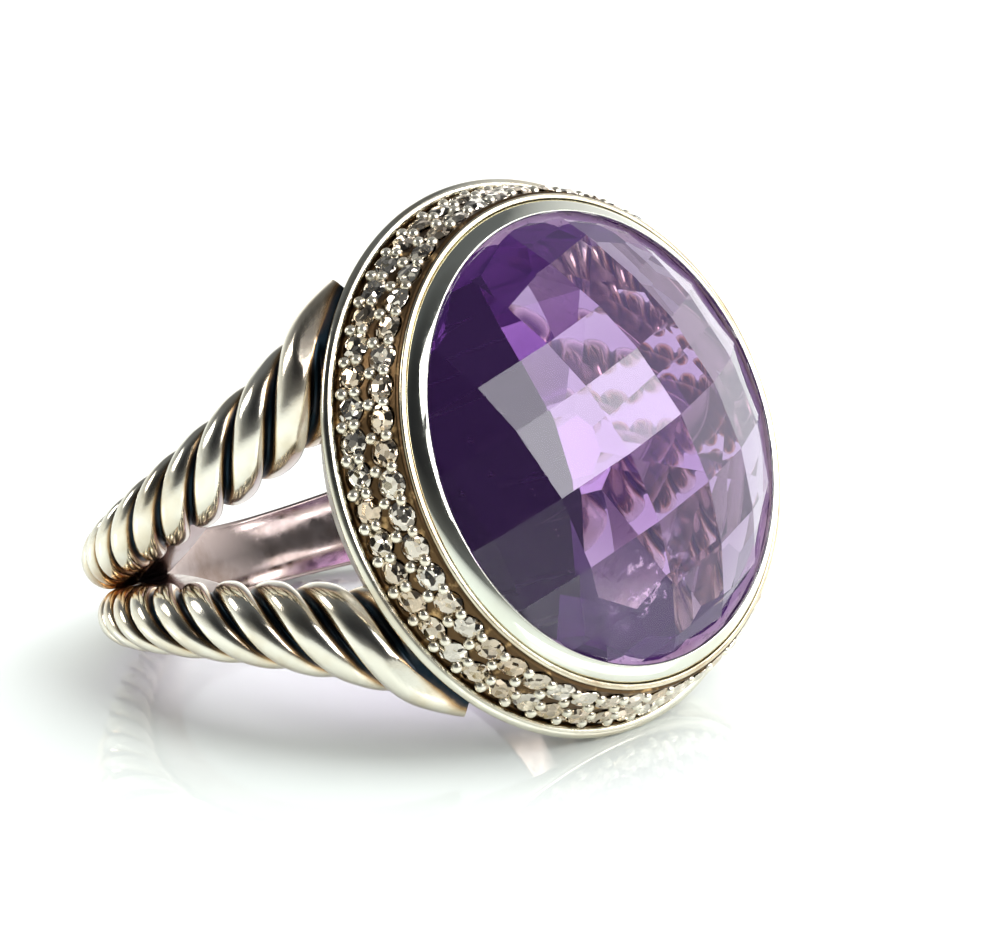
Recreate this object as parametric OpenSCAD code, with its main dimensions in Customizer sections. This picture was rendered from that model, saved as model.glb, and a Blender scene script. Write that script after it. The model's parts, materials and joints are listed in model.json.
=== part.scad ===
// Cocktail ring: round checkerboard amethyst in a stepped bezel, two-row pave halo,
// and a shank of two twisted cables that run together at the back and part towards the head.
// Millimetres. The ring lies on its side as it rests on a table: +Z up, table at z = 0,
// the head towards +X, the shank's plane of symmetry at y = 0.

/* [Finger hole] */
// bore of the finger hole
bore_d = 17.3; // [14:0.1:22]

/* [Head] */
// diameter over the polished rim wire
head_d = 20; // [16:0.1:26]
// rim plane above the top of the finger hole
head_rise = 0.5; // [0.3:0.05:2]
// thickness of the rim wire
wire_d = 0.46; // [0.3:0.02:0.8]
// width of the sunk gutter between wire and pave
gutter_w = 0.2; // [0.1:0.02:0.5]
// thickness of the plate under the halo
base_t = 0.3; // [0.2:0.05:0.6]
// inner diameter of the plate under the halo
base_inner_d = 14; // [10:0.5:16]

/* [Pave halo] */
// stones in each row
row_count = 52; // [24:1:72]
// turn of both rows round the head, in degrees
pave_turn = 1.1; // [0:0.1:7]
// girdle diameter of one pave stone
pave_stone_d = 1.0; // [0.8:0.05:1.4]
// height of the conical band
pave_h = 2.45; // [1.5:0.05:4]
// outer diameter at the top of the band
pave_top_d = 17.64; // [12:0.02:22]
// wall thickness of the band
pave_t = 0.5; // [0.3:0.05:0.8]
// lower row, distance up the slope
lower_row = 0.75; // [0.5:0.01:1.2]
// upper row, distance up the slope
upper_row = 1.93; // [1.4:0.01:3]
// diameter of the bead grains
bead_d = 0.43; // [0.2:0.01:0.5]

/* [Bezel] */
// diameter over the collar
collar_d = 17.46; // [12:0.02:22]
// height of the collar ledge above the rim plane
collar_h = 2.62; // [1.5:0.02:4]
// diameter over the bezel wall
wall_d = 17.06; // [12:0.02:22]
// inner diameter of the bezel lip
lip_d = 15.86; // [10:0.02:20]
// height of the lip above the rim plane
lip_h = 3.02; // [1.5:0.02:5]

/* [Centre stone] */
// girdle diameter of the amethyst
gem_d = 16.3; // [10:0.1:20]
// rise of the dome above the lip
dome_rise = 3.1; // [1:0.1:5]
// depth of the pavilion below the girdle
pavilion_h = 2.6; // [2:0.1:6]
// turn of the checkerboard about the head axis
facet_turn = 17; // [0:1:90]

/* [Cable shank] */
// strands in each cable
strands = 4; // [3:1:8]
// cable diameter at the back of the shank
cable_back_d = 1.4; // [1:0.05:3]
// cable diameter where the arms meet the head
cable_head_d = 3.7; // [2:0.05:5]
// distance of the arm ends from the middle plane
arm_spread = 5.05; // [3:0.1:8]
// angle from the head axis where the arm ends sit
arm_angle = 41; // [30:1:60]
// angle from the head axis where the cables part
split_angle = 120; // [90:1:160]
// rise of the shoulders above the round of the finger hole
shoulder_rise = 0.7; // [0:0.05:2]
// wall of the smooth liner inside the cables
liner_t = 0.65; // [0.4:0.05:1.2]
// twist of the strands, as tangent of the lay angle
lay = 1.43; // [0.4:0.01:2]

/* [Hidden] */

silver = "#d9d7cd";
dark_silver = "#5a5347";
bronze = "#7a5a34";
champagne = "#cfc4ae";
violet = "#7d5a9c";

smooth = 180;
bead_fn = 60;
brilliant_fn = 8;

bore_r = bore_d / 2;
head_r = head_d / 2;
rim_n = bore_r + head_rise;
wire_r = head_r - wire_d / 2;

// pave band: slope from its foot to its top
foot_r = head_r - wire_d - gutter_w + 0.21;
slope_angle = atan((foot_r - pave_top_d / 2) / pave_h);
row_step = 360 / row_count;
function pave_angle(i, offset) = (i + offset) * row_step + pave_turn;

// cables
cable_steps = 176;
lobe_points = 6;
ring_points = strands * lobe_points;
strand_share = 0.56;
seat_share = 0.85;
taper_power = 1.7;
split_power = 2.1;
shoulder_angle = 95;
shoulder_width = 30;
cable_end = 33;
// towards the head the near arm swells a little and its twist slows down
end_flare = 0.12;
flare_from = 52;
slow_share = 0.45;
slow_from = 312;
slow_span = 12;
blend_steps = 12;
blend_angle = 78;
trim_n = rim_n - base_t - 0.05;
tuck_r = head_r - 0.16;
tuck_slope = 1.6;

// rest on a table: rim wire and the back of the lower cable both touch
back_r = cable_back_d / 2;
back_reach = bore_r + liner_t + seat_share * back_r;
rest_a = rim_n + back_reach;
rest_b = wire_r - back_r;
rest_tilt = atan2(rest_b, rest_a) + asin((wire_d / 2 - back_r) / norm([rest_a, rest_b]));
rest_lift = back_reach * sin(rest_tilt) + back_r * cos(rest_tilt) + back_r;
dome_top = rim_n + lip_h + dome_rise;
rest_shift = -2.35;

// checkerboard: lines between the facets, across and along the finger
column_lines = [-10, -7.2, -5, -2.25, 0.45, 3.1, 5.6, 7.6, 10];
row_lines = [-10, -8, -6.2, -4.25, -2.45, 0.2, 2.75, 5, 6.9, 10];
girdle_z = lip_h - 0.6;
dome_curve = pow(lip_d / 2, 2) / (2 * (dome_rise + 0.15));
pavilion_sides = 16;

// ---- placing ----

// from the ring's own frame (Z along the finger, X through the head) to its rest on the table
module lay_down() {
    translate([rest_shift, 0, rest_lift])
        rotate([0, -rest_tilt, 0])
            children();
}

// Z out through the head, origin in the rim plane
module at_head() {
    lay_down()
        translate([rim_n, 0, 0])
            rotate([0, 90, 0])
                children();
}

// on the slope of the pave band, Z square to the slope
module on_slope(angle, along) {
    rotate([0, 0, angle])
        translate([foot_r - along * sin(slope_angle), 0, along * cos(slope_angle)])
            rotate([0, 90 - slope_angle, 0])
                children();
}

module finger_hole() {
    lay_down()
        cylinder(h = 60, r = bore_r, center = true, $fn = smooth);
}

// ---- centre stone ----

function dome_fall(x) = -x * x / (2 * dome_curve);

module checkerboard_dome() {
    nx = len(row_lines);
    ny = len(column_lines);
    top = [for (y = column_lines) for (x = row_lines)
        [x, y, lip_h + dome_rise + dome_fall(x) + dome_fall(y)]];
    floor_z = lip_h + dome_rise + 2 * dome_fall(10) - 2;
    bottom = [for (y = column_lines) for (x = row_lines) [x, y, floor_z]];
    under = nx * ny;
    caps = [for (j = [0:ny - 2]) for (i = [0:nx - 2])
        [j * nx + i, (j + 1) * nx + i, (j + 1) * nx + i + 1, j * nx + i + 1]];
    floors = [for (f = caps) [f[3] + under, f[2] + under, f[1] + under, f[0] + under]];
    near = [for (i = [0:nx - 2]) [i, i + 1, under + i + 1, under + i]];
    last = (ny - 1) * nx;
    far = [for (i = [0:nx - 2])
        [last + i + 1, last + i, under + last + i, under + last + i + 1]];
    left = [for (j = [0:ny - 2])
        [(j + 1) * nx, j * nx, under + j * nx, under + (j + 1) * nx]];
    right = [for (j = [0:ny - 2])
        [j * nx + nx - 1, (j + 1) * nx + nx - 1,
         under + (j + 1) * nx + nx - 1, under + j * nx + nx - 1]];
    polyhedron(concat(top, bottom), concat(caps, floors, near, far, left, right));
}

// faceted underside: a girdle ring, a belt at half depth and the culet
module pavilion() {
    n = pavilion_sides;
    step = 360 / n;
    gem_r = gem_d / 2 - 0.02;
    belt_r = gem_r * 0.6;
    top = [for (i = [0:n - 1]) [gem_r * cos(i * step), gem_r * sin(i * step), girdle_z + 0.05]];
    belt = [for (i = [0:n - 1])
        [belt_r * cos((i + 0.5) * step), belt_r * sin((i + 0.5) * step),
         girdle_z - pavilion_h * 0.55]];
    culet = [[0, 0, girdle_z - pavilion_h]];
    lid = [[0, 0, girdle_z + 0.05]];
    faces = concat(
        [for (i = [0:n - 1]) [2 * n + 1, (i + 1) % n, i]],
        [for (i = [0:n - 1]) [i, (i + 1) % n, n + i]],
        [for (i = [0:n - 1]) [(i + 1) % n, n + (i + 1) % n, n + i]],
        [for (i = [0:n - 1]) [n + i, n + (i + 1) % n, 2 * n]]);
    polyhedron(concat(top, belt, culet, lid), faces);
}

module amethyst() {
    color(violet)
        at_head()
            union() {
                intersection() {
                    rotate([0, 0, facet_turn])
                        checkerboard_dome();
                    translate([0, 0, girdle_z])
                        cylinder(h = 10, r = gem_d / 2, $fn = smooth);
                }
                pavilion();
            }
}

// ---- bezel ----

module bezel_wall() {
    wall_r = wall_d / 2;
    lip_r = lip_d / 2;
    color(silver)
        at_head()
            rotate_extrude($fn = smooth)
                polygon([[gem_d / 2 + 0.02, girdle_z - 0.15], [wall_r, collar_h - 0.25],
                         [wall_r, collar_h + 0.1], [wall_r - 0.1, collar_h + 0.25],
                         [wall_r - 0.28, lip_h - 0.06], [lip_r + 0.18, lip_h],
                         [lip_r + 0.05, lip_h - 0.02], [lip_r, lip_h - 0.1],
                         [gem_d / 2 + 0.02, girdle_z + 0.12]]);
}

module bezel_collar() {
    collar_r = collar_d / 2;
    color(silver)
        at_head()
            rotate_extrude($fn = smooth)
                polygon([[wall_d / 2 - 0.3, collar_h - 0.55], [collar_r, collar_h - 0.55],
                         [collar_r, collar_h - 0.06], [collar_r - 0.06, collar_h],
                         [wall_d / 2 + 0.01, collar_h], [wall_d / 2 + 0.01, collar_h - 0.27],
                         [wall_d / 2 - 0.3, collar_h - 0.4]]);
}

module bezel_seat() {
    seat_r = gem_d / 2 - 0.05;
    color(dark_silver)
        at_head()
            rotate_extrude($fn = smooth)
                polygon([[base_inner_d / 2, 0], [seat_r, 0], [seat_r, girdle_z - 0.2],
                         [seat_r - 0.35, girdle_z - 0.4], [base_inner_d / 2, girdle_z - 0.95]]);
}

// ---- halo ----

module pave_band() {
    top_r = pave_top_d / 2;
    color(bronze)
        at_head()
            difference() {
                rotate_extrude($fn = smooth)
                    polygon([[foot_r - pave_t, 0], [foot_r, 0],
                             [top_r, pave_h], [top_r - pave_t, pave_h]]);
                for (i = [0:row_count - 1]) {
                    on_slope(pave_angle(i, 0), lower_row)
                        stone_seat();
                    on_slope(pave_angle(i, 0.5), upper_row)
                        stone_seat();
                }
            }
}

module stone_seat() {
    translate([0, 0, -0.3])
        cylinder(h = 1, d = pave_stone_d, $fn = 24);
}

module brilliant() {
    crown_h = 0.16 * pave_stone_d;
    depth = 0.29 * pave_stone_d;
    cylinder(h = crown_h, d1 = pave_stone_d * 0.98, d2 = pave_stone_d * 0.57, $fn = brilliant_fn);
    translate([0, 0, -depth])
        cylinder(h = depth, d1 = pave_stone_d * 0.3, d2 = pave_stone_d * 0.98, $fn = brilliant_fn);
}

module pave_row(along, offset) {
    color(champagne)
        at_head()
            for (i = [0:row_count - 1])
                on_slope(pave_angle(i, offset), along)
                    brilliant();
}

module pave_stones_lower() {
    pave_row(lower_row, 0);
}

module pave_stones_upper() {
    pave_row(upper_row, 0.5);
}

module bead_circle(along, offset, size) {
    color(silver)
        at_head()
            for (i = [0:row_count - 1])
                on_slope(pave_angle(i, offset), along)
                    sphere(d = bead_d * size, $fn = bead_fn);
}

// grains between the lower stones
module beads_edge() {
    bead_circle(lower_row - 0.35, 0.5, 1.1);
}

module beads_lower() {
    bead_circle(lower_row + 0.15, 0.5, 1);
}

// grains between the upper stones
module beads_middle() {
    bead_circle(upper_row - 0.45, 0, 1.03);
}

module beads_upper() {
    bead_circle(upper_row + 0.17, 0, 0.97);
}

module rim_wire() {
    color(silver)
        at_head()
            rotate_extrude($fn = smooth)
                translate([wire_r, 0])
                    circle(d = wire_d, $fn = 48);
}

module gutter_ring() {
    color(bronze)
        at_head()
            rotate_extrude($fn = smooth)
                polygon([[foot_r - pave_t, -base_t + 0.12], [wire_r, -base_t + 0.12],
                         [wire_r, -0.06], [foot_r - 0.02, -0.02], [foot_r - pave_t, -0.02]]);
}

module head_plate() {
    color(dark_silver)
        at_head()
            rotate_extrude($fn = smooth)
                polygon([[base_inner_d / 2, -base_t - 0.05], [wire_r, -base_t - 0.05],
                         [wire_r, -base_t + 0.1], [base_inner_d / 2, -base_t + 0.1]]);
}

// frame under the head, hollowed to the finger hole
module gallery() {
    drop = 2.6;
    color(dark_silver)
        difference() {
            at_head()
                rotate_extrude($fn = smooth)
                    polygon([[base_inner_d / 2 + 0.2, -drop], [head_r - 1.9, -drop],
                             [head_r - 1.2, -base_t - 0.06], [base_inner_d / 2, -base_t - 0.06]]);
            finger_hole();
        }
}

// ---- cable shank ----

// t runs round the finger from the head (0) by the back (180); both halves are alike
function from_head(t) = min(t, 360 - t);
function swell(t) = pow((180 - from_head(t)) / (180 - arm_angle), taper_power);
function cable_r(t) = back_r + (cable_head_d / 2 - back_r) * swell(t);
function parting(t) =
    pow(max(0, split_angle - from_head(t)) / (split_angle - arm_angle), split_power);
function cable_v(t) = cable_r(t) + (arm_spread - cable_head_d / 2) * parting(t);
function shoulder(t) =
    shoulder_rise * exp(-pow((from_head(t) - shoulder_angle) / shoulder_width, 2));
function cable_reach(t) = bore_r + liner_t + seat_share * cable_r(t) + shoulder(t);
function cable_mid(t) = [cable_reach(t) * cos(t), cable_reach(t) * sin(t), cable_v(t)];
function unit(v) = v / norm(v);
function ahead(t) = unit(cable_mid(t + 0.5) - cable_mid(t - 0.5));
function sideways(t) = unit(cross([cos(t), sin(t), 0], ahead(t)));
function outward(t) = cross(ahead(t), sideways(t));

function ramp(x) = let (u = min(1, max(0, x))) u * u * (3 - 2 * u);
function strand_r(t) =
    cable_r(t) * (1 + end_flare * ramp((flare_from - from_head(t)) / slow_span));
function lay_at(t) = lay * (1 - slow_share * ramp((t - slow_from) / slow_span));

function angle_at(i) = cable_end + (360 - 2 * cable_end) * i / cable_steps;
step_len = [for (i = [0:cable_steps - 1])
    norm(cable_mid(angle_at(i + 1)) - cable_mid(angle_at(i)))];
turned = [for (i = 0, a = 0; i <= cable_steps;
    a = i < cable_steps
        ? a + lay_at(angle_at(i + 0.5)) * step_len[i] / cable_r(angle_at(i + 0.5)) * 180 / PI
        : a,
    i = i + 1) [angle_at(i), a]];

// one strand shows as an arc of the section
function lobe(a) =
    let (c = 1 - strand_share)
    c * cos(a) + sqrt(pow(strand_share, 2) - pow(c * sin(a), 2));
function lobe_angle(j) = 360 * j / ring_points;
function in_lobe(j) = 360 / strands * ((j % lobe_points) / lobe_points - 0.5);
// the arm ends are filed back to stay under the rim
function tuck(p) =
    let (reach = norm([p[1], p[2]]), limit = tuck_r + tuck_slope * max(0, trim_n - p[0]))
    reach > limit ? [p[0], p[1] * limit / reach, p[2] * limit / reach] : p;
function cable_point(j, t) =
    let (turn = lobe_angle(j) + lookup(t, turned))
    tuck(cable_mid(t) + strand_r(t) * lobe(in_lobe(j))
        * (cos(turn) * outward(t) + sin(turn) * sideways(t)));

// where a line of the cable meets the underside of the head plate
function trim_start(j, lo, hi, n) =
    n == 0 ? hi
    : let (mid = (lo + hi) / 2)
      cable_point(j, mid)[0] > trim_n ? trim_start(j, mid, hi, n - 1)
      : trim_start(j, lo, mid, n - 1);
function line_start(j) =
    cable_point(j, cable_end)[0] <= trim_n ? cable_end
    : trim_start(j, cable_end, blend_angle, 12);
function line_end(j) =
    cable_point(j, 360 - cable_end)[0] <= trim_n ? 360 - cable_end
    : trim_start(j, 360 - cable_end, 360 - blend_angle, 12);
function line_angle(i, first, last) =
    i < blend_steps ? first + (angle_at(blend_steps) - first) * i / blend_steps
    : i > cable_steps - blend_steps
        ? last + (angle_at(cable_steps - blend_steps) - last) * (cable_steps - i) / blend_steps
    : angle_at(i);

module cable() {
    m = ring_points;
    first = [for (j = [0:m - 1]) line_start(j)];
    last = [for (j = [0:m - 1]) line_end(j)];
    skin = [for (i = [0:cable_steps]) for (j = [0:m - 1])
        cable_point(j, line_angle(i, first[j], last[j]))];
    top = cable_steps * m;
    hub = [for (k = [0, top])
        [for (a = [0:2]) [for (j = [0:m - 1]) skin[k + j][a]] * [for (j = [0:m - 1]) 1 / m]]];
    sides = [for (i = [0:cable_steps - 1]) for (j = [0:m - 1])
        let (a = i * m + j, b = i * m + (j + 1) % m)
        each [[a, b, b + m], [a, b + m, a + m]]];
    near = [for (j = [0:m - 1]) [top + m, (j + 1) % m, j]];
    far = [for (j = [0:m - 1]) [top + m + 1, top + j, top + (j + 1) % m]];
    polyhedron(concat(skin, hub), concat(sides, near, far));
}

module cable_upper() {
    color(silver)
        lay_down()
            cable();
}

module cable_lower() {
    color(silver)
        lay_down()
            mirror([0, 0, 1])
                cable();
}

// smooth strip behind one cable; the two strips meet at the back of the finger
function strip_low(t) =
    let (gap = cable_v(t) - cable_r(t))
    gap + 0.8 * cable_r(t) * min(1, gap);
function strip_high(t) = cable_v(t) + cable_r(t);
function strip_reach(t) = cable_reach(t) - 0.75 * cable_r(t);
function strip_section(t) =
    let (c = cos(t), s = sin(t), near = bore_r - 0.7, far = strip_reach(t))
    [[near * c, near * s, strip_low(t)], [far * c, far * s, strip_low(t)],
     [far * c, far * s, strip_high(t)], [near * c, near * s, strip_high(t)]];

module liner_strip() {
    steps = 80;
    start = 38;
    points = [for (i = [0:steps]) each strip_section(start + (360 - 2 * start) * i / steps)];
    sides = [for (i = [0:steps - 1]) for (j = [0:3])
        let (a = i * 4 + j, b = i * 4 + (j + 1) % 4)
        each [[a, b, b + 4], [a, b + 4, a + 4]]];
    top = steps * 4;
    polyhedron(points, concat(sides, [[0, 3, 2], [0, 2, 1]],
        [[top, top + 1, top + 2], [top, top + 2, top + 3]]));
}

module liner_upper() {
    color(dark_silver)
        difference() {
            lay_down()
                liner_strip();
            finger_hole();
        }
}

module liner_lower() {
    color(dark_silver)
        difference() {
            lay_down()
                mirror([0, 0, 1])
                    liner_strip();
            finger_hole();
        }
}

amethyst();
bezel_wall();
bezel_collar();
bezel_seat();
pave_band();
gutter_ring();
rim_wire();
head_plate();
gallery();
pave_stones_lower();
pave_stones_upper();
beads_edge();
beads_lower();
beads_middle();
beads_upper();
cable_upper();
cable_lower();
liner_upper();
liner_lower();
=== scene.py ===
import json
import math
import random

import bmesh
import bpy
from mathutils import Matrix, Vector


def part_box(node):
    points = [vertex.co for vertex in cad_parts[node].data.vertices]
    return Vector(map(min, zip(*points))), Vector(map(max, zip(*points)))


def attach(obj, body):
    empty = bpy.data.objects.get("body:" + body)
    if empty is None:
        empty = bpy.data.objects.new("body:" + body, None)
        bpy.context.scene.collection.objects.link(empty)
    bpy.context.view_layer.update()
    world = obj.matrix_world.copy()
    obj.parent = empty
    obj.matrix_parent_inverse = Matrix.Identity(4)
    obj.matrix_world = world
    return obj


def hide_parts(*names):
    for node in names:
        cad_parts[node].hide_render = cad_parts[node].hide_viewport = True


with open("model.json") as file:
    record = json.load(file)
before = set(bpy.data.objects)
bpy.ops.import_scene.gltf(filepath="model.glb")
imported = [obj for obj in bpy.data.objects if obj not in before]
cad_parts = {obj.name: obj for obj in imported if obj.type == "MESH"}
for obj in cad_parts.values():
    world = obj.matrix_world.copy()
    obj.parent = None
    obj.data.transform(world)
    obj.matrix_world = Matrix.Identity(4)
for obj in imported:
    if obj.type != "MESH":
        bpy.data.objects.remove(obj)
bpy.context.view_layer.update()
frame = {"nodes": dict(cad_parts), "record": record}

MM = 0.001

# ---------------------------------------------------------------- sizes
# Lengths are in millimetres and angles in degrees. Heights on the head are counted from
# the middle of the rim wire, and angles round the shank from the middle of the head.
BORE_R = 8.65
HEAD_R = 10.0
WIRE_D = 0.46
GUTTER_W = 0.2
BASE_T = 0.3

ROW_COUNT = 52
PAVE_TURN = 1.1
STONE_D = 1.0
SEAT_SINK = 0.3
PAVE_H = 2.45
PAVE_TOP_R = 8.82
PAVE_T = 0.5
LOWER_ROW = 0.75
UPPER_ROW = 1.93
BEAD_D = 0.43

COLLAR_R = 8.73
COLLAR_H = 2.62
WALL_R = 8.53
LIP_R = 7.93
LIP_H = 3.02
LIP_EDGE = 0.04
CROWN_SWEEP = 54

GEM_R = 8.15
DOME_RISE = 3.1
GIRDLE_Z = LIP_H - 0.6
PAVILION_H = 2.6
FACET_TURN = 17
VEIL_PLACE = (5.2, -1.6, 4.6)
VEIL_R = 2.6
# where the checkerboard's facets meet, counted from the middle of the dome
COLUMN_LINES = (-10, -7.2, -5, -2.25, 0.45, 3.1, 5.6, 7.6, 10)
ROW_LINES = (-10, -8, -6.2, -4.25, -2.45, 0.2, 2.75, 5, 6.9, 10)

STRANDS = 4
BACK_R = 0.7
END_R = 1.85
ARM_SPREAD = 5.05
ARM_ANGLE = 41
SPLIT_ANGLE = 120
SHOULDER_RISE = 0.7
SHOULDER_ANGLE = 95
SHOULDER_WIDTH = 30
LINER_T = 0.65
LAY = 1.43
TAPER_POWER = 1.7
SPLIT_POWER = 2.1
SEAT_SHARE = 0.85
CABLE_END = 33
LINER_END = 38
LINER_SOFT = 0.16
GROOVE = 0.74
STRAND_EDGE = 0.85
TUCK_IN = 0.22
TUCK_SLOPE = 1.6
TRIM_BELOW_RIM = 0.12
END_FLARE = 0.12
FLARE_FROM = 52
SLOW_SHARE = 0.45
SLOW_FROM = 312
SLOW_SPAN = 12

FOOT_R = HEAD_R - WIRE_D - GUTTER_W + 0.21
SLOPE = math.atan((FOOT_R - PAVE_TOP_R) / PAVE_H)

# ---------------------------------------------------------------- the ring's own frame
hole = [m for m in frame["record"]["mounts"] if m["name"] == "finger_hole"][0]
FINGER_AXIS = Vector(hole["axis"]).normalized()
RING_CENTRE = Vector(hole["pos_m"])
HEAD_AXIS = Vector((FINGER_AXIS.z, 0, -FINGER_AXIS.x))
ACROSS = Vector((0, 1, 0))
wire_low, wire_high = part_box("rim_wire")
HEAD_CENTRE = (wire_low + wire_high) / 2
RIM_N = (HEAD_CENTRE - RING_CENTRE).dot(HEAD_AXIS) / MM


def frame_matrix(origin, x, y, z):
    m = Matrix((x, y, z)).transposed().to_4x4()
    m.translation = origin
    return m @ Matrix.Scale(MM, 4)


# ring frame: X through the head, Z along the finger; head frame: Z out of the stone
RING = frame_matrix(RING_CENTRE, HEAD_AXIS, ACROSS, FINGER_AXIS)
HEAD = frame_matrix(HEAD_CENTRE, -FINGER_AXIS, ACROSS, HEAD_AXIS)


# ---------------------------------------------------------------- meshes
def new_piece(name, verts, faces, place, material, nodes, smooth=True):
    mesh = bpy.data.meshes.new(name)
    mesh.from_pydata([tuple(v) for v in verts], [], faces)
    mesh.transform(place)
    mesh.validate()
    mesh.materials.append(material)
    mesh.polygons.foreach_set("use_smooth", [smooth] * len(mesh.polygons))
    piece = bpy.data.objects.new(name, mesh)
    bpy.context.scene.collection.objects.link(piece)
    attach(piece, "root")
    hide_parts(*nodes)
    return piece


def add_attribute(piece, name, values):
    attribute = piece.data.attributes.new(name, "FLOAT", "POINT")
    attribute.data.foreach_set("value", values)


def round_profile(points, steps=5):
    """A closed outline with its corners rounded; each point is (r, z, corner radius)."""
    out = []
    n = len(points)
    for i, (r, z, rad) in enumerate(points):
        here = Vector((r, z))
        if rad <= 0:
            out.append((r, z))
            continue
        before = Vector(points[i - 1][:2])
        after = Vector(points[(i + 1) % n][:2])
        a, b = before - here, after - here
        cut = min(rad, a.length * 0.45, b.length * 0.45)
        start = here + a.normalized() * cut
        end = here + b.normalized() * cut
        for k in range(steps + 1):
            t = k / steps
            p = start * (1 - t) ** 2 + here * 2 * t * (1 - t) + end * t * t
            out.append((p.x, p.y))
    return out


def ring_faces(steps, m):
    """Quads of a closed ring of sections, each a closed outline of m points."""
    faces = []
    for i in range(steps):
        i2 = (i + 1) % steps
        for j in range(m):
            k = (j + 1) % m
            faces.append((i * m + j, i2 * m + j, i2 * m + k, i * m + k))
    return faces


def tube_faces(steps, m, flip):
    """Quads between steps + 1 sections of m points, with both ends capped."""
    faces = []
    for i in range(steps):
        for j in range(m):
            k = (j + 1) % m
            a, b = i * m + j, i * m + k
            faces.append((a, a + m, b + m, b) if flip else (a, b, b + m, a + m))
    first = list(range(m))
    last = [steps * m + j for j in range(m)]
    return faces + ([first, last[::-1]] if flip else [first[::-1], last])


def add_copy(all_verts, all_faces, verts, faces, place):
    start = len(all_verts)
    all_verts += [place @ v for v in verts]
    all_faces += [[start + k for k in f] for f in faces]


def turned_ring(name, outline, material, nodes, steps=360):
    """An outline of (r, z) turned round the head's axis."""
    verts = []
    for i in range(steps):
        a = 2 * math.pi * i / steps
        verts += [(r * math.cos(a), r * math.sin(a), z) for r, z in outline]
    faces = ring_faces(steps, len(outline))
    return new_piece(name, verts, faces, HEAD, material, nodes)


def pave_angle(i, offset):
    return 2 * math.pi * (i + offset) / ROW_COUNT + math.radians(PAVE_TURN)


def on_slope(angle, along):
    """Matrix in the head frame at a place on the pave band, Z square to the slope."""
    radius = FOOT_R - along * math.sin(SLOPE)
    return (Matrix.Rotation(angle, 4, "Z")
            @ Matrix.Translation((radius, 0, along * math.cos(SLOPE)))
            @ Matrix.Rotation(math.pi / 2 - SLOPE, 4, "Y"))


def cut_solid(planes, size):
    """The convex solid inside all planes; each plane is (point, outward normal)."""
    bm = bmesh.new()
    bmesh.ops.create_cube(bm, size=size)
    for point, normal in planes:
        geom = bm.verts[:] + bm.edges[:] + bm.faces[:]
        cut = bmesh.ops.bisect_plane(bm, geom=geom, dist=1e-6, plane_co=point,
                                     plane_no=normal, clear_outer=True)
        edges = [e for e in cut["geom_cut"] if isinstance(e, bmesh.types.BMEdge)]
        if len(edges) > 2:
            bmesh.ops.contextual_create(bm, geom=edges)
    bmesh.ops.recalc_face_normals(bm, faces=bm.faces[:])
    verts = [v.co.copy() for v in bm.verts]
    faces = [[v.index for v in f.verts] for f in bm.faces]
    bm.free()
    return verts, faces


def tier(count, radius, z, tilt, turn=0.0):
    """Facets round the axis through (radius, z); tilt is measured up from pointing outwards."""
    planes = []
    for i in range(count):
        a = 2 * math.pi * (i + turn) / count
        c, s = math.cos(tilt), math.sin(tilt)
        planes.append((Vector((radius * math.cos(a), radius * math.sin(a), z)),
                       Vector((c * math.cos(a), c * math.sin(a), s))))
    return planes


# ---------------------------------------------------------------- centre stone
def dome_fall(x):
    """How far the dome drops at a distance from its middle."""
    return -x * x * (DOME_RISE + 0.15) / LIP_R ** 2


def make_amethyst(material):
    turn = Matrix.Rotation(math.radians(FACET_TURN), 3, "Z")
    top = LIP_H + DOME_RISE
    planes = []
    for x0, x1 in zip(ROW_LINES, ROW_LINES[1:]):
        for y0, y1 in zip(COLUMN_LINES, COLUMN_LINES[1:]):
            slope_x = (dome_fall(x1) - dome_fall(x0)) / (x1 - x0)
            slope_y = (dome_fall(y1) - dome_fall(y0)) / (y1 - y0)
            corner = Vector((x0, y0, top + dome_fall(x0) + dome_fall(y0)))
            planes.append((turn @ corner, turn @ Vector((-slope_x, -slope_y, 1)).normalized()))
    planes += tier(96, GEM_R, GIRDLE_Z, 0)
    for count, share, below, lean, shift in ((32, 1, 0.1, 40, 0.5), (16, 0.88, 0.78, 29, 0),
                                             (16, 0.68, 1.5, 20, 0.5), (8, 0.40, 2.1, 13, 0)):
        planes += tier(count, GEM_R * share, GIRDLE_Z - below, math.radians(lean - 90), shift)
    planes.append((Vector((0, 0, GIRDLE_Z - PAVILION_H)), Vector((0, 0, -1))))
    verts, faces = cut_solid(planes, 40)
    return new_piece("amethyst_stone", verts, faces, HEAD, material, ["amethyst"],
                     smooth=False)


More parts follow.
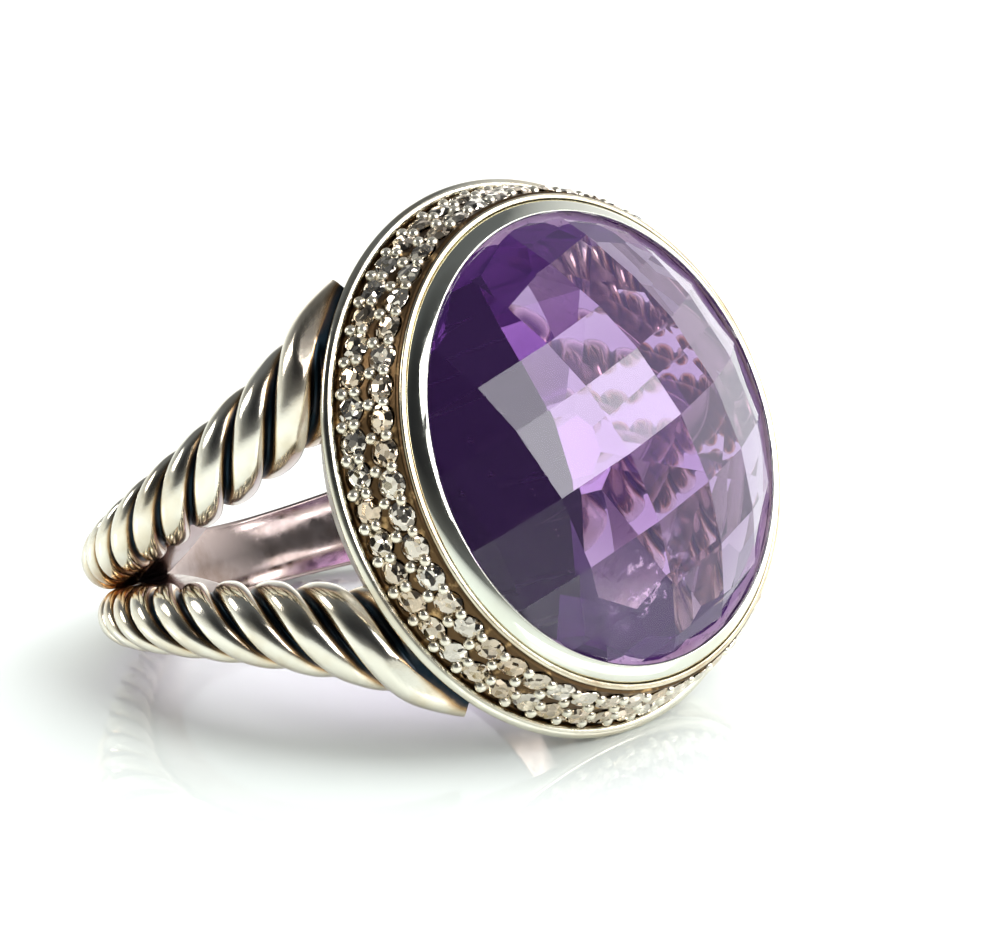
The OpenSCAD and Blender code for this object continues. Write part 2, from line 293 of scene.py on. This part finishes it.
# ---------------------------------------------------------------- bezel and halo metal
def make_bezel(wall_metal, collar_metal):
    """A wall with a leaning crown and a thin bright edge, inside a low rounded ledge."""
    foot, steps, sweep = COLLAR_H - 0.2, 18, math.radians(CROWN_SWEEP)
    width = (WALL_R - LIP_R - LIP_EDGE) / (1 - math.cos(sweep))
    rise = (LIP_H - foot) / math.sin(sweep)
    crown = [(WALL_R - width * (1 - math.cos(a)), foot + rise * math.sin(a))
             for a in [sweep * k / steps for k in range(steps + 1)]]
    wall = [(GEM_R + 0.02, GIRDLE_Z - 0.15), (WALL_R, COLLAR_H - 0.25)] + crown + [
        (LIP_R + LIP_EDGE, LIP_H - 0.01), (LIP_R, LIP_H - 0.05), (LIP_R, LIP_H - 0.1),
        (GEM_R + 0.02, GIRDLE_Z + 0.12)]
    turned_ring("bezel_rim", wall, wall_metal, ["bezel_wall"])
    collar = round_profile([
        (WALL_R - 0.3, COLLAR_H - 0.55, 0), (COLLAR_R, COLLAR_H - 0.55, 0.03),
        (COLLAR_R, COLLAR_H, 0.1), (WALL_R + 0.01, COLLAR_H, 0.03),
        (WALL_R + 0.01, COLLAR_H - 0.27, 0), (WALL_R - 0.3, COLLAR_H - 0.4, 0)], 6)
    turned_ring("bezel_ledge", collar, collar_metal, ["bezel_collar"])


def make_rim_wire(material):
    r = WIRE_D / 2
    outline = [(HEAD_R - r + r * math.cos(a), r * math.sin(a))
               for a in [2 * math.pi * k / 32 for k in range(32)]]
    turned_ring("edge_wire", outline, material, ["rim_wire"])


def make_gutter(material):
    outline = round_profile([
        (FOOT_R - PAVE_T, -BASE_T + 0.12, 0), (HEAD_R - WIRE_D / 2, -BASE_T + 0.12, 0),
        (HEAD_R - WIRE_D / 2, -0.02, 0), (HEAD_R - WIRE_D - 0.06, -0.1, 0.05),
        (FOOT_R - 0.02, -0.06, 0.05), (FOOT_R - PAVE_T, -0.02, 0)], 4)
    turned_ring("halo_gutter", outline, material, ["gutter_ring"])


def seat_depth(angle, along):
    """How far the band's surface sinks into the seat of the nearest stone."""
    step = 2 * math.pi / ROW_COUNT
    sink = 0.0
    turn = math.radians(PAVE_TURN)
    for row, offset in ((LOWER_ROW, 0.0), (UPPER_ROW, 0.5)):
        nearest = (round((angle - turn) / step - offset) + offset) * step + turn
        radius = FOOT_R - row * math.sin(SLOPE)
        d = math.hypot((angle - nearest) * radius, along - row)
        t = min(1, max(0, (STONE_D * 0.53 - d) / (STONE_D * 0.09)))
        sink = max(sink, t * t * (3 - 2 * t))
    return SEAT_SINK * sink


def make_pave_band(material):
    """The halo's cone with a seat sunk for each stone; relief is 1 at the seats' floors."""
    around, up = ROW_COUNT * 24, 56
    length = math.hypot(FOOT_R - PAVE_TOP_R, PAVE_H)
    verts, relief = [], []
    for i in range(around):
        a = 2 * math.pi * i / around
        for j in range(up + 1):
            s = length * j / up
            sink = seat_depth(a, s)
            r = FOOT_R - s * math.sin(SLOPE) - sink * math.cos(SLOPE)
            z = s * math.cos(SLOPE) - sink * math.sin(SLOPE)
            verts.append((r * math.cos(a), r * math.sin(a), z))
            relief.append(sink / SEAT_SINK)
        for r, z in ((PAVE_TOP_R - PAVE_T, PAVE_H), (FOOT_R - PAVE_T, 0)):
            verts.append((r * math.cos(a), r * math.sin(a), z))
            relief.append(1.0)
    faces = ring_faces(around, up + 3)
    piece = new_piece("halo_band", verts, faces, HEAD, material, ["pave_band"])
    add_attribute(piece, "relief", relief)


def brilliant():
    """A round brilliant, girdle at z = 0: table, stars, kites, halves and mains."""
    r = STONE_D / 2 - 0.01
    up = math.pi / 2
    planes = [(Vector((0, 0, 0.155)), Vector((0, 0, 1)))]
    planes += tier(8, r, 0.012, up - math.radians(34))
    planes += tier(8, r * 0.6, 0.15, up - math.radians(22), 0.5)
    planes += tier(16, r, 0.012, up - math.radians(41), 0.5)
    planes += tier(16, r, 0, 0, 0.5)
    planes += tier(8, r, -0.012, -up + math.radians(40))
    planes += tier(16, r, -0.012, -up + math.radians(42), 0.5)
    planes.append((Vector((0, 0, -0.36)), Vector((0, 0, -1))))
    return cut_solid(planes, 2)


def make_pave_row(row, along, offset, material, rng):
    """One row of stones, each a little tipped and turned, with its own shade."""
    verts, faces = brilliant()
    all_verts, all_faces, shades = [], [], []
    for i in range(ROW_COUNT):
        angle = pave_angle(i, offset)
        tip = (Matrix.Rotation(rng.uniform(-0.1, 0.1), 4, "X")
               @ Matrix.Rotation(rng.uniform(-0.1, 0.1), 4, "Y")
               @ Matrix.Rotation(rng.uniform(0, math.pi / 4), 4, "Z"))
        place = on_slope(angle, along) @ Matrix.Translation((0, 0, 0.01)) @ tip
        shades += [rng.random()] * len(verts)
        add_copy(all_verts, all_faces, verts, faces, place)
    piece = new_piece("halo_stones_" + row, all_verts, all_faces, HEAD, material,
                      ["pave_stones_" + row], smooth=False)
    add_attribute(piece, "shade", shades)


def ball(rings=10, sides=16):
    """A ball of radius 1."""
    verts = [(0, 0, 1)]
    for i in range(1, rings):
        t = math.pi * i / rings
        for j in range(sides):
            a = 2 * math.pi * j / sides
            verts.append((math.sin(t) * math.cos(a), math.sin(t) * math.sin(a), math.cos(t)))
    verts.append((0, 0, -1))
    faces = [(0, 1 + j, 1 + (j + 1) % sides) for j in range(sides)]
    for i in range(rings - 2):
        for j in range(sides):
            a, b = 1 + i * sides + j, 1 + i * sides + (j + 1) % sides
            faces.append((a, a + sides, b + sides, b))
    last = len(verts) - 1
    base = 1 + (rings - 2) * sides
    faces += [(last, base + (j + 1) % sides, base + j) for j in range(sides)]
    return [Vector(v) for v in verts], faces


def make_beads(circle, along, offset, size, material, rng):
    """One circle of bead grains, each pushed a little out of place and shape."""
    verts, faces = ball()
    r = BEAD_D * size / 2
    all_verts, all_faces = [], []
    for i in range(ROW_COUNT):
        angle = pave_angle(i, offset)
        place = on_slope(angle + rng.uniform(-0.003, 0.003), along + rng.uniform(-0.03, 0.03))
        grow = Matrix.Diagonal((r * rng.uniform(0.93, 1.05), r * rng.uniform(0.93, 1.05), r, 1))
        add_copy(all_verts, all_faces, verts, faces, place @ grow)
    new_piece("grains_" + circle, all_verts, all_faces, HEAD, material, ["beads_" + circle])


# ---------------------------------------------------------------- shank
def ease(x):
    """A smooth step from 0 to 1."""
    u = min(1, max(0, x))
    return u * u * (3 - 2 * u)


def from_head(t):
    return min(t, 360 - t)


def cable_r(t):
    swell = ((180 - from_head(t)) / (180 - ARM_ANGLE)) ** TAPER_POWER
    return BACK_R + (END_R - BACK_R) * swell


def cable_v(t):
    """Distance of the cable's middle from the shank's plane of symmetry."""
    parting = (max(0, SPLIT_ANGLE - from_head(t)) / (SPLIT_ANGLE - ARM_ANGLE)) ** SPLIT_POWER
    return cable_r(t) + (ARM_SPREAD - END_R) * parting


def cable_reach(t):
    """Distance of the cable's middle from the finger's axis."""
    shoulder = SHOULDER_RISE * math.exp(-((from_head(t) - SHOULDER_ANGLE) / SHOULDER_WIDTH) ** 2)
    return BORE_R + LINER_T + SEAT_SHARE * cable_r(t) + shoulder


def cable_mid(t):
    a = math.radians(t)
    return Vector((cable_reach(t) * math.cos(a), cable_reach(t) * math.sin(a), cable_v(t)))


def cable_frame(t):
    a = math.radians(t)
    ahead = (cable_mid(t + 0.5) - cable_mid(t - 0.5)).normalized()
    sideways = Vector((math.cos(a), math.sin(a), 0)).cross(ahead).normalized()
    return cable_mid(t), ahead.cross(sideways), sideways


def strand_height(u):
    """Section of one strand; u runs from -1 to 1 across it. Returns (radius share, relief)."""
    x = abs(u)
    if x < STRAND_EDGE:
        h = GROOVE + (1 - GROOVE) * (1 - (x / STRAND_EDGE) ** 2.5) ** 0.62
    else:
        h = GROOVE - 0.03 * ease((x - STRAND_EDGE) / (1 - STRAND_EDGE))
    relief = min(1, max(0, (x - 0.6) / 0.27))
    return h, relief


def tuck(p, trim_n):
    """Draw a point of the cable's end in under the rim and cut it off at trim_n."""
    reach = math.hypot(p.y, p.z)
    limit = HEAD_R - TUCK_IN + TUCK_SLOPE * max(0, trim_n - p.x)
    share = min(1, limit / reach)
    return Vector((min(p.x, trim_n), p.y * share, p.z * share))


def cable_twist(angles):
    """How far the strands have turned at each place; they turn slower near one end."""
    turned = [0.0]
    for t0, t1 in zip(angles, angles[1:]):
        ds = (cable_mid(t1) - cable_mid(t0)).length
        t = (t0 + t1) / 2
        lay = LAY * (1 - SLOW_SHARE * ease((t - SLOW_FROM) / SLOW_SPAN))
        turned.append(turned[-1] + lay * ds / cable_r(t))
    return turned


def make_cable(arm, side, material):
    """side is 1 for the upper cable, -1 for the lower, which mirrors it.

    relief is 1 in the grooves. The other attribute, up to 1, is painted light: a gold glow just
    under the rim on the upper cable and a gold glint where the cables join; it also tints the
    side towards the finger darker and yellower.
    """
    steps, per_strand = 620, 26
    m = STRANDS * per_strand
    trim_n = RIM_N - TRIM_BELOW_RIM
    span = 360 - 2 * CABLE_END
    angles = [CABLE_END + span * i / steps for i in range(steps + 1)]
    verts, relief, gold_glow_and_inner_tint = [], [], []
    for t, twist in zip(angles, cable_twist(angles)):
        mid, outward, sideways = cable_frame(t)
        r = cable_r(t) * (1 + END_FLARE * ease((FLARE_FROM - from_head(t)) / SLOW_SPAN))
        for j in range(m):
            u = 2 * (j % per_strand) / per_strand - 1
            h, dark = strand_height(u)
            phi = 2 * math.pi * j / m + twist
            p = mid + r * h * (math.cos(phi) * outward + math.sin(phi) * sideways)
            p = tuck(p, trim_n)
            verts.append(Vector((p.x, p.y, side * p.z)))
            relief.append(dark)
            # painted gold glow just under the rim on the upper cable and painted gold glint where
            # the cables join; the side towards the finger is tinted darker and yellower
            near_rim = math.exp(-((trim_n - p.x - 0.4) / 0.7) ** 2) if side > 0 else 0
            joint = math.exp(-((p.z / 0.55) ** 2)) if from_head(t) > 95 else 0
            inner = max(0, -math.cos(phi))
            gold_glow_and_inner_tint.append(min(1, 0.25 * near_rim + 0.9 * joint + 0.6 * inner))
    piece = new_piece("shank_cable_" + arm, verts, tube_faces(steps, m, side < 0), RING, material,
                      ["cable_" + arm])
    add_attribute(piece, "relief", relief)
    add_attribute(piece, "gold_glow_and_inner_tint", gold_glow_and_inner_tint)


def liner_outline(t):
    """Section of one liner strip: (distance from the finger axis, height), corners rounded."""
    gap = cable_v(t) - cable_r(t)
    low = gap + 0.8 * cable_r(t) * min(1, gap)
    high = cable_v(t) + cable_r(t)
    far = cable_reach(t) - 0.75 * cable_r(t)
    inner_soft = LINER_SOFT * min(1, gap / 0.1)
    return round_profile([(BORE_R, low, inner_soft), (far, low, inner_soft * 0.5),
                          (far, high, LINER_SOFT), (BORE_R, high, LINER_SOFT)], 5)


def make_liner(arm, side, material):
    steps, m = 360, 24
    span = 360 - 2 * LINER_END
    verts = []
    for i in range(steps + 1):
        t = LINER_END + span * i / steps
        a = math.radians(t)
        outline = liner_outline(t)
        # where the strips meet, two corners are sharp, and the first point stands in for the
        # points they lack
        outline = [outline[0]] * (m - len(outline)) + outline
        verts += [Vector((r * math.cos(a), r * math.sin(a), side * v)) for r, v in outline]
    new_piece("shank_liner_" + arm, verts, tube_faces(steps, m, side > 0), RING, material,
              ["liner_" + arm])


# ---------------------------------------------------------------- materials
def new_material(name):
    mat = bpy.data.materials.new(name)
    mat.use_nodes = True
    tree = mat.node_tree
    shader = tree.nodes["Principled BSDF"]
    return mat, tree, shader


def node(tree, kind, **settings):
    n = tree.nodes.new(kind)
    for key, value in settings.items():
        if key in n.inputs:
            n.inputs[key].default_value = value
        else:
            setattr(n, key, value)
    return n


def feed(tree, socket, value):
    """Link value to the socket if it is an output, and set it otherwise."""
    if isinstance(value, bpy.types.NodeSocket):
        tree.links.new(value, socket)
    else:
        socket.default_value = value


def calc(tree, operation, a, b):
    n = node(tree, "ShaderNodeMath", operation=operation)
    feed(tree, n.inputs[0], a)
    feed(tree, n.inputs[1], b)
    return n.outputs[0]


def vector_calc(tree, operation, *values):
    """DISTANCE and DOT_PRODUCT give a number, other operations a vector."""
    n = node(tree, "ShaderNodeVectorMath", operation=operation)
    for socket, value in zip(n.inputs, values):
        feed(tree, socket, value)
    return n.outputs["Value" if operation in ("DISTANCE", "DOT_PRODUCT") else "Vector"]


def object_place(tree):
    return tree.nodes.new("ShaderNodeTexCoord").outputs["Object"]


def ramp(tree, source, stops):
    n = tree.nodes.new("ShaderNodeValToRGB")
    elements = n.color_ramp.elements
    while len(elements) < len(stops):
        elements.new(0.5)
    for element, (place, colour) in zip(elements, stops):
        element.position = place
        element.color = (*colour, 1)
    tree.links.new(source, n.inputs["Fac"])
    return n.outputs["Color"]


def greys(*stops):
    """Stops of a ramp from (place, grey) pairs."""
    return [(place, (grey, grey, grey)) for place, grey in stops]


def noise(tree, scale, detail=4, rough=0.55, stretch=None):
    """Noise in object space; scale counts features per metre."""
    place = object_place(tree)
    if stretch:
        mapping = node(tree, "ShaderNodeMapping", Scale=stretch)
        tree.links.new(place, mapping.inputs["Vector"])
        place = mapping.outputs["Vector"]
    n = node(tree, "ShaderNodeTexNoise", Scale=scale, Detail=detail, Roughness=rough)
    tree.links.new(place, n.inputs["Vector"])
    return n.outputs["Fac"]


def map_range(tree, source, low, high, from_low=0.0, from_high=1.0):
    n = tree.nodes.new("ShaderNodeMapRange")
    n.inputs["From Min"].default_value = from_low
    n.inputs["From Max"].default_value = from_high
    n.inputs["To Min"].default_value = low
    n.inputs["To Max"].default_value = high
    tree.links.new(source, n.inputs["Value"])
    return n.outputs["Result"]


def mix(tree, factor, a, b, blend="MIX"):
    n = tree.nodes.new("ShaderNodeMix")
    n.data_type = "RGBA"
    n.blend_type = blend
    feed(tree, n.inputs[0], factor)
    for socket, colour in ((n.inputs[6], a), (n.inputs[7], b)):
        plain = not isinstance(colour, bpy.types.NodeSocket)
        feed(tree, socket, (*colour, 1) if plain else colour)
    return n.outputs[2]


def mix_shaders(tree, factor, a, b):
    n = tree.nodes.new("ShaderNodeMixShader")
    for socket, value in zip(n.inputs, (factor, a, b)):
        tree.links.new(value, socket)
    return n.outputs[0]


def bump(tree, shader, height, strength, distance):
    n = node(tree, "ShaderNodeBump", Strength=strength, Distance=distance)
    tree.links.new(height, n.inputs["Height"])
    tree.links.new(n.outputs["Normal"], shader.inputs["Normal"])


def silver(name, colour, second_tone, amount, rough, metallic=1):
    """Polished silver with cloudy tarnish, fine rubbing marks and uneven polish."""
    mat, tree, shader = new_material(name)
    cloud = map_range(tree, noise(tree, 420, 6), 0, 1, 0.46, 0.72)
    tint = mix(tree, map_range(tree, cloud, 0, amount), colour, second_tone)
    tree.links.new(tint, shader.inputs["Base Color"])
    shader.inputs["Metallic"].default_value = metallic
    polish = map_range(tree, noise(tree, 1900, 5, 0.6), rough * 0.6, rough * 1.9, 0.3, 0.75)
    tree.links.new(polish, shader.inputs["Roughness"])
    bump(tree, shader, noise(tree, 5200, 3, 0.6, (1, 1, 0.15)), 0.06, 0.00002)
    return mat


def attribute(tree, name):
    n = tree.nodes.new("ShaderNodeAttribute")
    n.attribute_name = name
    return n.outputs["Fac"]


def cable_metal():
    """Bright ridges, bronze where the polish ends, blue-black oxide in the grooves."""
    mat, tree, shader = new_material("cable_silver")
    wander = map_range(tree, noise(tree, 900, 5), -0.2, 0.2)
    edge = calc(tree, "ADD", attribute(tree, "relief"), wander)
    colour = ramp(tree, edge, [(0.0, (0.88, 0.84, 0.73)), (0.35, (0.80, 0.72, 0.57)),
                               (0.62, (0.40, 0.26, 0.13)), (0.82, (0.05, 0.045, 0.045)),
                               (1.0, (0.010, 0.020, 0.030))])
    cloud = map_range(tree, noise(tree, 520, 6), 0, 0.6, 0.48, 0.72)
    colour = mix(tree, cloud, colour, (0.74, 0.62, 0.44), "MULTIPLY")
    # painted gold glow and glint by the rim and where the cables join, and a darker, yellower
    # tint on the side towards the finger
    second_tone = map_range(tree, attribute(tree, "gold_glow_and_inner_tint"), 0, 0.85)
    colour = mix(tree, second_tone, colour, (0.85, 0.52, 0.22), "MULTIPLY")
    tree.links.new(colour, shader.inputs["Base Color"])
    shader.inputs["Metallic"].default_value = 1
    polish = ramp(tree, edge, greys((0, 0.17), (0.5, 0.22), (0.8, 0.32), (1, 0.38)))
    tree.links.new(polish, shader.inputs["Roughness"])
    bump(tree, shader, noise(tree, 3800, 5, 0.65), 0.14, 0.00003)
    return mat


def band_metal():
    """Oxidised halo ground: bronze-brown, darkest round the stones, with painted glints: gold
    patches scattered by noise.
    """
    mat, tree, shader = new_material("oxidised_band")
    colour = ramp(tree, attribute(tree, "relief"), [(0.0, (0.11, 0.065, 0.03)),
                                                    (0.4, (0.06, 0.035, 0.018)),
                                                    (1.0, (0.03, 0.02, 0.015))])
    # painted glints: gold patches scattered by noise over the oxidised ground
    painted_glints = map_range(tree, noise(tree, 1300, 6), 0, 1, 0.58, 0.70)
    colour = mix(tree, painted_glints, colour, (0.62, 0.40, 0.18))
    tree.links.new(colour, shader.inputs["Base Color"])
    shader.inputs["Metallic"].default_value = 1
    tree.links.new(map_range(tree, noise(tree, 2600), 0.22, 0.5), shader.inputs["Roughness"])
    bump(tree, shader, noise(tree, 6000, 5), 0.3, 0.00004)
    return mat


def gem_haze(tree):
    """Specks of dust all over, and threads of a healed veil round VEIL_PLACE."""
    away = vector_calc(tree, "DISTANCE", object_place(tree), HEAD @ Vector(VEIL_PLACE))
    patch = map_range(tree, away, 1, 0, VEIL_R * MM * 0.35, VEIL_R * MM)
    threads = map_range(tree, noise(tree, 900, 9, 0.75), 0, 1, 0.53, 0.60)
    dust = map_range(tree, noise(tree, 6500, 2, 0.4), 0, 0.5, 0.76, 0.80)
    return calc(tree, "MAXIMUM", calc(tree, "MULTIPLY", patch, threads), dust)


def gem_glass():
    """Amethyst: colour from depth under a thin violet film, which the haze thickens.

    Lamps shine through it, so the seat below the stone is lit.
    """
    mat, tree, shader = new_material("amethyst")
    shader.inputs["Roughness"].default_value = 0
    shader.inputs["IOR"].default_value = 1.544
    shader.inputs["Transmission Weight"].default_value = 1
    haze = gem_haze(tree)
    film = node(tree, "ShaderNodeBsdfPrincipled", Roughness=0.5)
    tree.links.new(mix(tree, haze, (0.17, 0.05, 0.34), (0.62, 0.44, 0.62)),
                   film.inputs["Base Color"])
    dusted = mix_shaders(tree, map_range(tree, haze, 0.09, 0.55), shader.outputs[0],
                         film.outputs[0])
    clear = node(tree, "ShaderNodeBsdfTransparent", Color=(0.92, 0.84, 0.95, 1))
    shadow = tree.nodes.new("ShaderNodeLightPath").outputs["Is Shadow Ray"]
    output = tree.nodes["Material Output"]
    tree.links.new(mix_shaders(tree, shadow, dusted, clear.outputs[0]), output.inputs["Surface"])
    absorb = node(tree, "ShaderNodeVolumeAbsorption", Color=(0.50, 0.22, 0.62, 1), Density=265)
    tree.links.new(absorb.outputs[0], output.inputs["Volume"])
    return mat


def diamond_glass():
    """Champagne brilliants, each a slightly different shade, with a play of small facets."""
    mat, tree, shader = new_material("pave_stone")
    colour = ramp(tree, attribute(tree, "shade"), [(0.0, (1.0, 0.92, 0.80)),
                                                   (0.6, (0.97, 0.83, 0.66)),
                                                   (1.0, (0.84, 0.66, 0.46))])
    tree.links.new(colour, shader.inputs["Base Color"])
    lean = 0.55
    cells = node(tree, "ShaderNodeTexVoronoi", Scale=4300)
    tree.links.new(object_place(tree), cells.inputs["Vector"])
    spread = vector_calc(tree, "MULTIPLY_ADD", cells.outputs["Color"], (2 * lean,) * 3,
                         (-lean,) * 3)
    normal = tree.nodes.new("ShaderNodeNewGeometry").outputs["Normal"]
    leaning = vector_calc(tree, "NORMALIZE", vector_calc(tree, "ADD", normal, spread))
    tree.links.new(leaning, shader.inputs["Normal"])
    shader.inputs["Roughness"].default_value = 0.02
    shader.inputs["Metallic"].default_value = 0.6
    shader.inputs["IOR"].default_value = 2.3
    shader.inputs["Transmission Weight"].default_value = 1
    return mat


def floor_material():
    """White acrylic, glossy enough for a faint reflection, with painted shade: a little greyer
    before the head.
    """
    mat, tree, shader = new_material("floor_white")
    soft = map_range(tree, noise(tree, 60, 3), 0.80, 0.82)
    colour = ramp(tree, soft, [(0.0, (0.77, 0.81, 0.78)), (1.0, (0.79, 0.83, 0.80))])
    # painted shade: a greyer patch of floor round a point just in front of the head
    away = vector_calc(tree, "DISTANCE", object_place(tree), (HEAD_CENTRE.x + 0.008, -0.010, 0))
    grey = map_range(tree, away, 1, 0, 0.008, 0.034)
    colour = mix(tree, grey, colour, (0.67, 0.715, 0.685))
    tree.links.new(colour, shader.inputs["Base Color"])
    shader.inputs["Roughness"].default_value = 0.025
    shader.inputs["IOR"].default_value = 1.5
    return mat


# ---------------------------------------------------------------- stage
# The camera: angles in degrees, lengths in millimetres. It aims a little off the head's
# middle, which stays right of the picture's middle and above it.
CAMERA_AZIMUTH = 45.15
CAMERA_ELEVATION = 16.25
CAMERA_DISTANCE = 104.87
HEAD_RIGHT_OF_AXIS = 1.786
HEAD_ABOVE_AXIS = 0.561
LENS = 108
# Lamps stand round the middle of the ring, in metres.
LAMP_AIM = Vector((0, 0, 0.009))
LAMP_DISTANCE = 0.4


def make_camera():
    a, e = math.radians(CAMERA_AZIMUTH), math.radians(CAMERA_ELEVATION)
    back = Vector((math.sin(a) * math.cos(e), -math.cos(a) * math.cos(e), math.sin(e)))
    right = Vector((math.cos(a), math.sin(a), 0))
    up = back.cross(right)
    data = bpy.data.cameras.new("camera")
    data.lens = LENS
    data.clip_start = 0.001
    data.clip_end = 10
    camera = bpy.data.objects.new("camera", data)
    bpy.context.scene.collection.objects.link(camera)
    aim = HEAD_CENTRE - (right * HEAD_RIGHT_OF_AXIS + up * HEAD_ABOVE_AXIS) * MM
    camera.location = aim + back * CAMERA_DISTANCE * MM
    camera.rotation_mode = "QUATERNION"
    camera.rotation_quaternion = (-back).to_track_quat("-Z", "Y")
    bpy.context.scene.camera = camera


def direction(azimuth, elevation):
    """Unit vector; azimuth is counted from +X towards +Y."""
    a, e = math.radians(azimuth), math.radians(elevation)
    return Vector((math.cos(a) * math.cos(e), math.sin(a) * math.cos(e), math.sin(e)))


def area_light(name, azimuth, elevation, width, height, radiance, colour=(1, 1, 1)):
    """A soft box that faces the ring; sizes in metres, radiance as seen in a mirror."""
    data = bpy.data.lights.new(name, "AREA")
    data.shape = "RECTANGLE"
    data.size = width
    data.size_y = height
    data.energy = radiance * math.pi * width * height
    data.color = colour
    lamp = bpy.data.objects.new(name, data)
    bpy.context.scene.collection.objects.link(lamp)
    away = direction(azimuth, elevation)
    lamp.location = LAMP_AIM + away * LAMP_DISTANCE
    lamp.rotation_mode = "QUATERNION"
    lamp.rotation_quaternion = away.to_track_quat("Z", "Y")
    lamp.visible_camera = False
    return lamp


def make_lights():
    cool = (0.97, 0.97, 1.0)
    area_light("softbox_low", 18, 29, 0.42, 0.14, 8.5, cool)
    area_light("softbox_high", -4, 49, 0.18, 0.12, 5.5, cool)
    area_light("softbox_top", 36, 49, 0.18, 0.12, 2.4, cool)
    area_light("left_light", -139, 27, 0.13, 0.13, 7.0, (1.0, 0.99, 0.95))
    fill = area_light("ceiling", 90, 80, 0.6, 0.6, 2.45)
    fill.visible_glossy = False
    fill.visible_transmission = False


def make_world():
    """White table sweep low down, brightest behind the ring; a dark room above and in front."""
    world = bpy.data.worlds.new("studio")
    bpy.context.scene.world = world
    world.use_nodes = True
    tree = world.node_tree
    background = tree.nodes["Background"]
    place = tree.nodes.new("ShaderNodeTexCoord").outputs["Generated"]

    def towards(azimuth, elevation):
        """From 0 opposite the direction to 1 in it."""
        dot = vector_calc(tree, "DOT_PRODUCT", place, direction(azimuth, elevation))
        return map_range(tree, dot, 0, 1, -1, 1)

    up = tree.nodes.new("ShaderNodeSeparateXYZ")
    tree.links.new(place, up.inputs[0])
    height = map_range(tree, up.outputs["Z"], 0, 1, -1, 1)
    low = ramp(tree, height, [(0.0, (0.55, 0.55, 0.55)), (0.53, (0.58, 0.60, 0.57)),
                              (0.61, (0.30, 0.31, 0.30)), (0.70, (0.10, 0.105, 0.11)),
                              (1.0, (0.07, 0.075, 0.08))])
    room = ramp(tree, towards(-45, 16), [(0.0, (1, 1, 1)), (0.60, (1, 1, 1)),
                                         (0.80, (0.30, 0.30, 0.30)), (0.9, (0.15, 0.15, 0.16)),
                                         (1.0, (0.13, 0.13, 0.14))])
    back = ramp(tree, towards(86, 0), greys((0, 0), (0.78, 0.02), (0.90, 0.45), (1, 0.8)))
    behind = ramp(tree, towards(142, 8), greys((0, 0), (0.93, 0), (0.985, 0.25), (1, 0.3)))
    light = mix(tree, 1.0, low, room, "MULTIPLY")
    light = mix(tree, 1.0, light, back, "ADD")
    light = mix(tree, 1.0, light, behind, "ADD")
    seen = tree.nodes.new("ShaderNodeLightPath").outputs["Is Camera Ray"]
    background.inputs["Strength"].default_value = 1.6
    tree.links.new(mix(tree, seen, light, (1, 1, 1)), background.inputs["Color"])


def make_floor():
    bm = bmesh.new()
    bmesh.ops.create_grid(bm, x_segments=8, y_segments=8, size=0.75)
    mesh = bpy.data.meshes.new("floor")
    bm.to_mesh(mesh)
    bm.free()
    mesh.materials.append(floor_material())
    floor = bpy.data.objects.new("floor", mesh)
    bpy.context.scene.collection.objects.link(floor)


# ---------------------------------------------------------------- build
make_camera()
rng = random.Random(7)
bright = silver("bright_silver", (0.76, 0.77, 0.68), (0.56, 0.48, 0.34), 0.3, 0.07)
wire_metal = silver("wire_silver", (0.74, 0.71, 0.60), (0.50, 0.38, 0.22), 0.6, 0.14)
worn = silver("worn_silver", (0.70, 0.63, 0.48), (0.36, 0.25, 0.13), 0.8, 0.16)
bead_metal = silver("bead_silver", (0.86, 0.81, 0.68), (0.60, 0.46, 0.28), 0.45, 0.2, 0.9)
# the liner's dark mauve brown is tarnish and also a painted reflection of the amethyst's purple
liner_metal = silver("liner_silver", (0.48, 0.39, 0.36), (0.26, 0.17, 0.12), 0.9, 0.16)
inner_metal = silver("inner_silver", (0.90, 0.86, 0.82), (0.66, 0.52, 0.40), 0.6, 0.3, 0.35)
oxidised = band_metal()
diamonds = diamond_glass()
cables = cable_metal()

make_amethyst(gem_glass())
make_bezel(bright, worn)
make_rim_wire(wire_metal)
make_gutter(oxidised)
make_pave_band(oxidised)
for row, along, offset in (("lower", LOWER_ROW, 0), ("upper", UPPER_ROW, 0.5)):
    make_pave_row(row, along, offset, diamonds, rng)
for circle, along, offset, size in (("edge", LOWER_ROW - 0.35, 0.5, 1.1),
                                    ("lower", LOWER_ROW + 0.15, 0.5, 1),
                                    ("middle", UPPER_ROW - 0.45, 0, 1.03),
                                    ("upper", UPPER_ROW + 0.17, 0, 0.97)):
    make_beads(circle, along, offset, size, bead_metal, rng)
for make, metal in ((make_cable, cables), (make_liner, liner_metal)):
    for arm, side in (("upper", 1), ("lower", -1)):
        make(arm, side, metal)
for name in ("bezel_seat", "head_plate", "gallery"):
    materials = frame["nodes"][name].data.materials
    materials.clear()
    materials.append(inner_metal)

make_floor()
make_lights()
make_world()
bpy.context.scene.view_settings.view_transform = "Standard"
